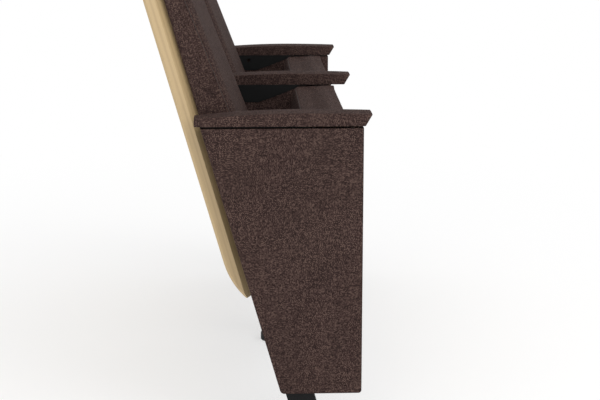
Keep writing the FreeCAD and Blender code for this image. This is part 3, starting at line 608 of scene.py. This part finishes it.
def seam_ridge(name, cushion, corners, body):
    """A sewn ridge laid on a cushion's cover along a closed path, following the cover's real surface."""
    tree = BVHTree.FromObject(cushion, bpy.context.evaluated_depsgraph_get())
    stitch = 0.012
    spots = []
    for start, end in zip(corners, corners[1:] + corners[:1]):
        steps = max(1, int((end - start).length / stitch))
        for step in range(steps):
            spots.append(tree.find_nearest(start.lerp(end, step / steps))[0])
    curve = bpy.data.curves.new(name, "CURVE")
    curve.dimensions = "3D"
    spline = curve.splines.new("NURBS")
    spline.points.add(len(spots) - 1)
    for point, spot in zip(spline.points, spots):
        point.co = (*spot, 1.0)
    spline.use_cyclic_u = True
    spline.order_u = 3
    spline.resolution_u = 2
    curve.bevel_depth = upholstery().seam_radius
    curve.bevel_resolution = 2
    carrier = bpy.data.objects.new(name + "_line", curve)
    bpy.context.scene.collection.objects.link(carrier)
    mesh = bpy.data.meshes.new_from_object(carrier.evaluated_get(bpy.context.evaluated_depsgraph_get()))
    bpy.data.objects.remove(carrier)
    bm = bmesh.new()
    bm.from_mesh(mesh)
    bpy.data.meshes.remove(mesh)
    lay_cloth(bm)
    return finish_piece(name, bm, thread(), body)


# Pieces


class SEAT_OT_side_panels(bpy.types.Operator):
    """Make the upholstered side panels of the three standards"""

    bl_idname = "seat.side_panels"
    bl_label = "Side panels"

    hole_radius: bpy.props.FloatProperty(
        name="Hole radius", description="Radius of the bolt hole behind the end gussets", default=0.0045,
        subtype="DISTANCE",
    )
    hole_place: bpy.props.FloatVectorProperty(
        name="Hole place", description="Depth and height of that bolt hole", size=2, default=(-0.003227, 0.5967)
    )

    def execute(self, context):
        for name in ENDS:
            sign = -1 if name == "left" else 1
            self.panel("end_panel_" + name, "outer_side_panel_" + name, sign)
            self.panel("inner_panel_" + name, "inner_side_panel_" + name, -sign)
            self.panel("middle_panel_" + name, "middle_side_panel_" + name, sign)
        return {"FINISHED"}

    def panel(self, node, name, facing):
        """One padded panel; facing is the way along the row that its padded face looks."""
        low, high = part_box(node)
        rise = high.z - low.z
        lean = upholstery().lean
        bm = block(low, high)
        for vert in bm.verts:
            if vert.co.z < low.z + rise / 2 and vert.co.y > low.y + 0.01:
                vert.co.y = high.y - rise * math.tan(lean)
        face_x = high.x if facing > 0 else low.x
        low_corner_radius = 0.006
        edge_radius = 0.0032
        swell_reach = 0.05
        fullest = 0.0016
        unevenness = 0.0003
        across = [e for e in bm.edges if abs(e.verts[0].co.x - e.verts[1].co.x) > 1e-4]
        low_corners = [e for e in across if max(v.co.z for v in e.verts) < low.z + 0.001]
        bmesh.ops.bevel(
            bm, geom=low_corners, offset=low_corner_radius, offset_type="OFFSET", affect="EDGES", segments=4,
            profile=0.5, material=-1,
        )
        soften(
            bm,
            edge_radius,
            3,
            lambda e: all(abs(v.co.x - face_x) < 1e-5 for v in e.verts)
            and not all(abs(v.co.z - high.z) < 1e-5 for v in e.verts),
        )
        slices(bm, 1, 16, low.y, high.y)
        slices(bm, 2, 26, low.z, high.z)
        for vert in bm.verts:
            if abs(vert.co.x - face_x) > 1e-5:
                continue
            rear = high.y - (high.z - vert.co.z) * math.tan(lean)
            inset = min(vert.co.y - low.y, rear - vert.co.y, vert.co.z - low.z, swell_reach)
            swell = fullest * math.sin(min(1.0, max(0.0, inset / swell_reach)) * math.pi / 2)
            ripple = unevenness * noise.noise(Vector((vert.co.x * 3, vert.co.y * 9, vert.co.z * 9)))
            vert.co.x += facing * (swell + ripple * min(1.0, inset / 0.02))
        lay_cloth(bm)
        piece = finish_piece(name, bm, fabric(), "stand", [node], math.radians(50))
        if node.startswith("inner"):
            drill = bmesh.new()
            bmesh.ops.create_cone(
                drill, cap_ends=True, segments=24, radius1=self.hole_radius, radius2=self.hole_radius, depth=0.04
            )
            bmesh.ops.rotate(drill, matrix=Matrix.Rotation(math.pi / 2, 3, "Y"), verts=drill.verts)
            spot = (low.x, self.hole_place[0], self.hole_place[1])
            bmesh.ops.translate(drill, vec=spot, verts=drill.verts)
            carve(piece, drill)


class SEAT_OT_arm_pads(bpy.types.Operator):
    """Make the upholstered arms"""

    bl_idname = "seat.arm_pads"
    bl_label = "Arm pads"

    undercut: bpy.props.FloatProperty(
        name="Undercut", description="How far the tip stands out over its lower edge", default=0.0102,
        subtype="DISTANCE",
    )
    tip_over: bpy.props.FloatProperty(
        name="Tip over", description="How far the tip's corner would stand out before it is rounded", default=0.0028,
        subtype="DISTANCE",
    )

    def execute(self, context):
        for name in STANDARDS:
            self.arm("arm_pad_" + name, "upholstered_arm_" + name)
        return {"FINISHED"}

    def arm(self, node, name):
        """One arm from its box: crowned along its length, thin at the rear and undercut at the tip."""
        low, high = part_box(node)
        length = high.y - low.y
        bm = block(low, high)
        slices(bm, 1, 28, low.y, high.y)
        tip_thick = 0.022
        crest = 0.0245
        rear_thick = 0.014
        crest_share = 0.602
        tip_share = 0.999
        edge_radius = 0.0042
        crown = 0.0011
        unevenness = 0.0004
        for vert in bm.verts:
            share = (high.y - vert.co.y) / length
            if vert.co.z > low.z + 0.005:
                if share <= crest_share:
                    bow = share / crest_share
                    top = rear_thick + (crest - rear_thick) * (1 - (1 - bow) ** 2)
                else:
                    bow = (share - crest_share) / (1 - crest_share)
                    top = crest - (crest - tip_thick) * bow ** 2
                vert.co.z = low.z + top
                if share > tip_share:
                    vert.co.y -= self.tip_over
            elif share > tip_share:
                vert.co.y += self.undercut
        soften(bm, edge_radius, 4, lambda e: max(v.co.z for v in e.verts) > low.z + 0.006)
        slices(bm, 0, 8, low.x, high.x)
        middle = (low.x + high.x) / 2
        half = (high.x - low.x) / 2
        for vert in bm.verts:
            if vert.co.z > low.z + 0.012:
                across = max(0.0, 1 - ((vert.co.x - middle) / half) ** 2)
                ripple = unevenness * noise.noise(Vector((vert.co.x * 25, vert.co.y * 14, 5.0)))
                vert.co.z += crown * across + ripple
        lay_cloth(bm, turned=True)
        piece = finish_piece(name, bm, fabric(), "stand", [node], math.radians(50))


class SEAT_OT_back_cushions(bpy.types.Operator):
    """Make and fill the wedge-shaped back cushions"""

    bl_idname = "seat.back_cushions"
    bl_label = "Back cushions"

    def execute(self, context):
        cloth = upholstery()
        node_low, node_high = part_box("back_cushion_left")
        centre = (node_low.x + node_high.x) / 2
        where = back_frame(centre)
        low, high = box_in("back_cushion_left", where)
        swell = cloth.back_swell * 0.8
        front_low = -low.y - 0.003
        edge_radius = 0.009
        glued = 0.006
        easing = 0.014
        bm = block(
            (low.x + swell * 0.5, low.y, low.z + swell * 0.5), (high.x - swell * 0.5, high.y, high.z - swell * 0.5)
        )
        taper = math.tan(math.radians(5.1))
        for vert in bm.verts:
            if vert.co.y < high.y - 0.01:
                level = vert.co.z - low.z
                vert.co.y = -(front_low - taper * level - swell * 0.35)
        slices(bm, 0, 10, low.x, high.x)
        slices(bm, 2, 12, low.z, high.z)
        draw_in(bm, low, high)
        soften(bm, edge_radius, 3, lambda e: min(v.co.y for v in e.verts) < high.y - 0.005)
        bmesh.ops.triangulate(bm, faces=[f for f in bm.faces if len(f.verts) > 4])

        def held(spot):
            return 1.0 if spot.y > high.y - glued else (0.4 if spot.y > high.y - easing else 0.0)

        filled = fill_cover(bm, cloth.back_swell, held)
        subdivide_once(filled)
        lay_cloth(filled)
        bmesh.ops.transform(filled, matrix=where, verts=filled.verts)
        left = finish_piece("padded_back_left", filled, fabric(), "stand", ["back_cushion_left"])
        other_low, other_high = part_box("back_cushion_right")
        shift = Vector(((other_low.x + other_high.x) / 2 - centre, 0.0, 0.0))
        right = copy_piece(left, "padded_back_right", shift, "stand", ["back_cushion_right"])
        inset = 0.004
        rim = []
        for across, level in ((low.x, low.z), (high.x, low.z), (high.x, high.z), (low.x, high.z)):
            out = -(front_low - taper * (level - low.z)) + inset
            rim.append((math.copysign(abs(across) - inset, across), out, level + math.copysign(inset, -level)))
        corners = [where @ Vector(spot) for spot in rim]
        seam = seam_ridge("back_seam_left", left, corners, "stand")
        copy_piece(seam, "back_seam_right", shift, "stand", [])
        return {"FINISHED"}


class SEAT_OT_seat_cushions(bpy.types.Operator):
    """Make and fill the seat cushions, standing tipped up"""

    bl_idname = "seat.seat_cushions"
    bl_label = "Seat cushions"

    def execute(self, context):
        cloth = upholstery()
        low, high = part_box("seat_cushion_left")
        swell = cloth.seat_swell * 0.7
        edge_radius = 0.009
        glued = 0.008
        easing = 0.016
        bm = block(
            (low.x + swell * 0.5, low.y, low.z + swell * 0.3),
            (high.x - swell * 0.5, high.y - 0.0005, high.z),
        )
        slices(bm, 0, 10, low.x, high.x)
        slices(bm, 2, 8, low.z, high.z)
        draw_in(bm, low, high)
        soften(bm, edge_radius, 3, lambda e: min(v.co.y for v in e.verts) > high.y - 0.03)
        bmesh.ops.triangulate(bm, faces=[f for f in bm.faces if len(f.verts) > 4])

        def held(spot):
            return 1.0 if spot.y < low.y + glued else (0.4 if spot.y < low.y + easing else 0.0)

        filled = fill_cover(bm, cloth.seat_swell, held)
        subdivide_once(filled)
        left = finish_piece("padded_seat_left", filled, fabric(), "seat_left", ["seat_cushion_left"])
        self.make_room(left)
        self.relay(left)
        shift = Vector((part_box("seat_cushion_right")[0].x - low.x, 0.0, 0.0))
        right = copy_piece(left, "padded_seat_right", shift, "seat_right", ["seat_cushion_right"])
        inset = 0.003
        face = high.y - inset
        corners = [
            Vector((low.x + inset, face, low.z + inset)),
            Vector((high.x - inset, face, low.z + inset)),
            Vector((high.x - inset, face, high.z - inset)),
            Vector((low.x + inset, face, high.z - inset)),
        ]
        seam = seam_ridge("seat_seam_left", left, corners, "seat_left")
        copy_piece(seam, "seat_seam_right", shift, "seat_right", [])
        return {"FINISHED"}

    def make_room(self, piece):
        """Recess for the board and pan, and notches for the hinge ears."""
        board_low, board_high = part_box("seat_board_left")
        pan_low, pan_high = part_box("seat_pan_left")
        clear = 0.0006
        corner_radius = 0.014
        ear_low = 0.329
        ear_high = 0.421
        ear_inner = 0.030
        ear_outer = 0.004
        rear = board_low.y - 0.02
        deep = board_high.y + 0.0035
        room = block(
            (board_low.x - clear, rear, board_low.z - clear),
            (board_high.x + clear, deep, board_high.z + clear),
        )
        soften(room, corner_radius, 3, lambda e: abs((e.verts[0].co - e.verts[1].co).normalized().y) > 0.9)
        carve(piece, room)
        sides = ((pan_low.x - ear_outer, pan_low.x + ear_inner), (pan_high.x - ear_inner, pan_high.x + ear_outer))
        for start, end in sides:
            carve(piece, block((start, rear, ear_low), (end, deep, ear_high)))

    def relay(self, piece):
        """Lay the cloth coordinates again after carving."""
        bm = bmesh.new()
        bm.from_mesh(piece.data)
        lay_cloth(bm)
        bm.to_mesh(piece.data)
        bm.free()
        piece.data.shade_smooth()


class SEAT_OT_hardware(bpy.types.Operator):
    """Give the carried-over wood, steel, rubber and plastic nodes their finishes"""

    bl_idname = "seat.hardware"
    bl_label = "Hardware finishes"

    def execute(self, context):
        finish_of = {
            "foot_": powder_coat("cast_foot_paint", 420.0, 0.5, 0.5),
            "column_": powder_coat("steel_paint", 900.0, 0.25, 0.25),
            "axle_": turned_steel("ground_steel", (0.56, 0.56, 0.57), 0.22, 0.38),
            "spring_": turned_steel("spring_steel", (0.26, 0.26, 0.28), 0.3, 0.45),
            "screws": turned_steel("zinc_plate", (0.40, 0.40, 0.41), 0.3, 0.5),
            "rubber": moulded("stop_rubber", (0.014, 0.014, 0.014), (0.03, 0.03, 0.03), 900.0, 0.7, 0.85),
            "plastic": moulded("black_plastic", (0.016, 0.016, 0.017), (0.026, 0.026, 0.027), 1200.0, 0.45, 0.6),
            "nylon": moulded("nylon", (0.66, 0.65, 0.60), (0.76, 0.75, 0.71), 900.0, 0.4, 0.55),
            "back_oak": lacquered_oak("back_oak", True),
            "board_oak": lacquered_oak("board_oak", False),
            "ply": birch_ply(),
        }
        chosen = (
            ("foot_", "foot_"), ("column_", "column_"), ("hinge_plate_", "column_"), ("arm_bracket_", "column_"),
            ("low_brackets_", "column_"), ("seat_pan_", "column_"), ("pivot_axle_", "axle_"),
            ("return_spring_", "spring_"), ("back_screws_", "screws"), ("bracket_bolts_", "screws"),
            ("stop_buffers_", "rubber"), ("spring_cup_", "plastic"), ("seat_bushes_", "nylon"),
            ("back_panel_", "back_oak"), ("seat_board_", "board_oak"), ("arm_core_", "ply"), ("back_board_", "ply"),
        )
        for node, piece in NODES.items():
            for start, key in chosen:
                if node.startswith(start):
                    for place in piece.material_slots:
                        place.material = finish_of[key]
        return {"FINISHED"}


class SEAT_OT_studio(bpy.types.Operator):
    """Make the pale floor, the lamps, the sky and the camera"""

    bl_idname = "seat.studio"
    bl_label = "Studio"

    def execute(self, context):
        self.floor()
        self.sky()
        self.lamp("key_lamp", (-2.2, -2.6, 3.0), studio().key)
        self.lamp("side_lamp", (-3.6, 0.4, 1.6), studio().fill)
        self.camera(context)
        context.scene.view_settings.view_transform = "Standard"
        return {"FINISHED"}

    def floor(self):
        """Pale floor that fades to plain white away from the seats."""
        reach = 40.0
        below_feet = 0.0005
        bm = bmesh.new()
        bmesh.ops.create_circle(bm, cap_ends=True, segments=96, radius=reach)
        bmesh.ops.translate(bm, vec=(0.0, 0.0, -below_feet), verts=bm.verts)
        mesh = bpy.data.meshes.new("studio_floor")
        bm.to_mesh(mesh)
        bm.free()
        floor = bpy.data.objects.new("studio_floor", mesh)
        bpy.context.scene.collection.objects.link(floor)
        g = Graph("studio_floor")
        x, y, _ = g.split(g.places())
        far = g.smooth((x * x * 0.5 + y * y) ** 0.5, 0.5, 1.9, 0.45)
        to_camera, _, _, glossy, _, _, transmitted, *_ = g.node("ShaderNodeLightPath")
        seen = to_camera.larger(glossy).larger(transmitted)
        plain = g.node("ShaderNodeBsdfDiffuse", None, {"Color": (0.93, 0.93, 0.93)})[0]
        white = g.node("ShaderNodeEmission", None, {"Color": (1.0, 1.0, 1.0), "Strength": 1.0})[0]
        mixed = g.node("ShaderNodeMixShader", None, {0: seen * far, 1: plain, 2: white})[0]
        g.node("ShaderNodeOutputMaterial", None, {0: mixed})
        mesh.materials.append(g.owner)

    def sky(self):
        """Even surrounding light that is plain white where it is seen."""
        world = bpy.data.worlds.new("studio_sky")
        bpy.context.scene.world = world
        g = Graph("studio_sky", world)
        white = (1.0, 1.0, 1.0)
        lit = g.node("ShaderNodeBackground", None, {"Color": white, "Strength": studio().sky})[0]
        seen = g.node("ShaderNodeBackground", None, {"Color": white, "Strength": 1.0})[0]
        to_camera = g.node("ShaderNodeLightPath")[0]
        mixed = g.node("ShaderNodeMixShader", None, {0: to_camera, 1: lit, 2: seen})[0]
        g.node("ShaderNodeOutputWorld", None, {0: mixed})

    def lamp(self, name, place, power):
        """A square soft lamp that looks at the seats."""
        data = bpy.data.lights.new(name, "AREA")
        data.shape = "SQUARE"
        data.size = 2.4
        data.energy = power
        lamp = bpy.data.objects.new(name, data)
        lamp.location = place
        aim = Vector((0.0, 0.0, 0.45)) - Vector(place)
        lamp.rotation_euler = aim.to_track_quat("-Z", "Y").to_euler()
        bpy.context.scene.collection.objects.link(lamp)

    def camera(self, context):
        """Camera at the photograph's viewing angle."""
        view = studio()
        data = bpy.data.cameras.new("view_camera")
        data.lens = view.lens
        data.sensor_width = 36.0
        data.clip_end = 200.0
        camera = bpy.data.objects.new("view_camera", data)
        camera.location = view.camera_place
        look = Vector(
            (
                math.cos(view.camera_turn) * math.cos(view.camera_tilt),
                -math.sin(view.camera_turn) * math.cos(view.camera_tilt),
                -math.sin(view.camera_tilt),
            )
        )
        camera.rotation_euler = look.to_track_quat("-Z", "Y").to_euler()
        context.scene.collection.objects.link(camera)
        context.scene.camera = camera


class SEAT_PT_panel(bpy.types.Panel):
    """Buttons that dress the seats, in the sidebar of the 3D view"""

    bl_idname = "SEAT_PT_panel"
    bl_label = "Tip-up seats"
    bl_space_type = "VIEW_3D"
    bl_region_type = "UI"
    bl_category = "Seats"

    def draw(self, context):
        for operator in OPERATORS:
            self.layout.operator(operator.bl_idname)


SETTINGS = (UpholsterySettings, FinishSettings, StudioSettings)
OPERATORS = (
    SEAT_OT_studio,
    SEAT_OT_side_panels,
    SEAT_OT_arm_pads,
    SEAT_OT_back_cushions,
    SEAT_OT_seat_cushions,
    SEAT_OT_hardware,
)


def register():
    """Add the settings, operators and panel."""
    for cls in (*SETTINGS, *OPERATORS, SEAT_PT_panel):
        bpy.utils.register_class(cls)
    bpy.types.Scene.seat_upholstery = bpy.props.PointerProperty(type=UpholsterySettings)
    bpy.types.Scene.seat_finishes = bpy.props.PointerProperty(type=FinishSettings)
    bpy.types.Scene.seat_studio = bpy.props.PointerProperty(type=StudioSettings)


def unregister():
    """Take them away again."""
    del bpy.types.Scene.seat_studio
    del bpy.types.Scene.seat_finishes
    del bpy.types.Scene.seat_upholstery
    for cls in reversed((*SETTINGS, *OPERATORS, SEAT_PT_panel)):
        bpy.utils.unregister_class(cls)


def main():
    """Dress the seats."""
    register()
    bpy.ops.seat.studio()
    bpy.ops.seat.side_panels()
    bpy.ops.seat.arm_pads()
    bpy.ops.seat.back_cushions()
    bpy.ops.seat.seat_cushions()
    bpy.ops.seat.hardware()


if __name__ == "__main__":
    main()
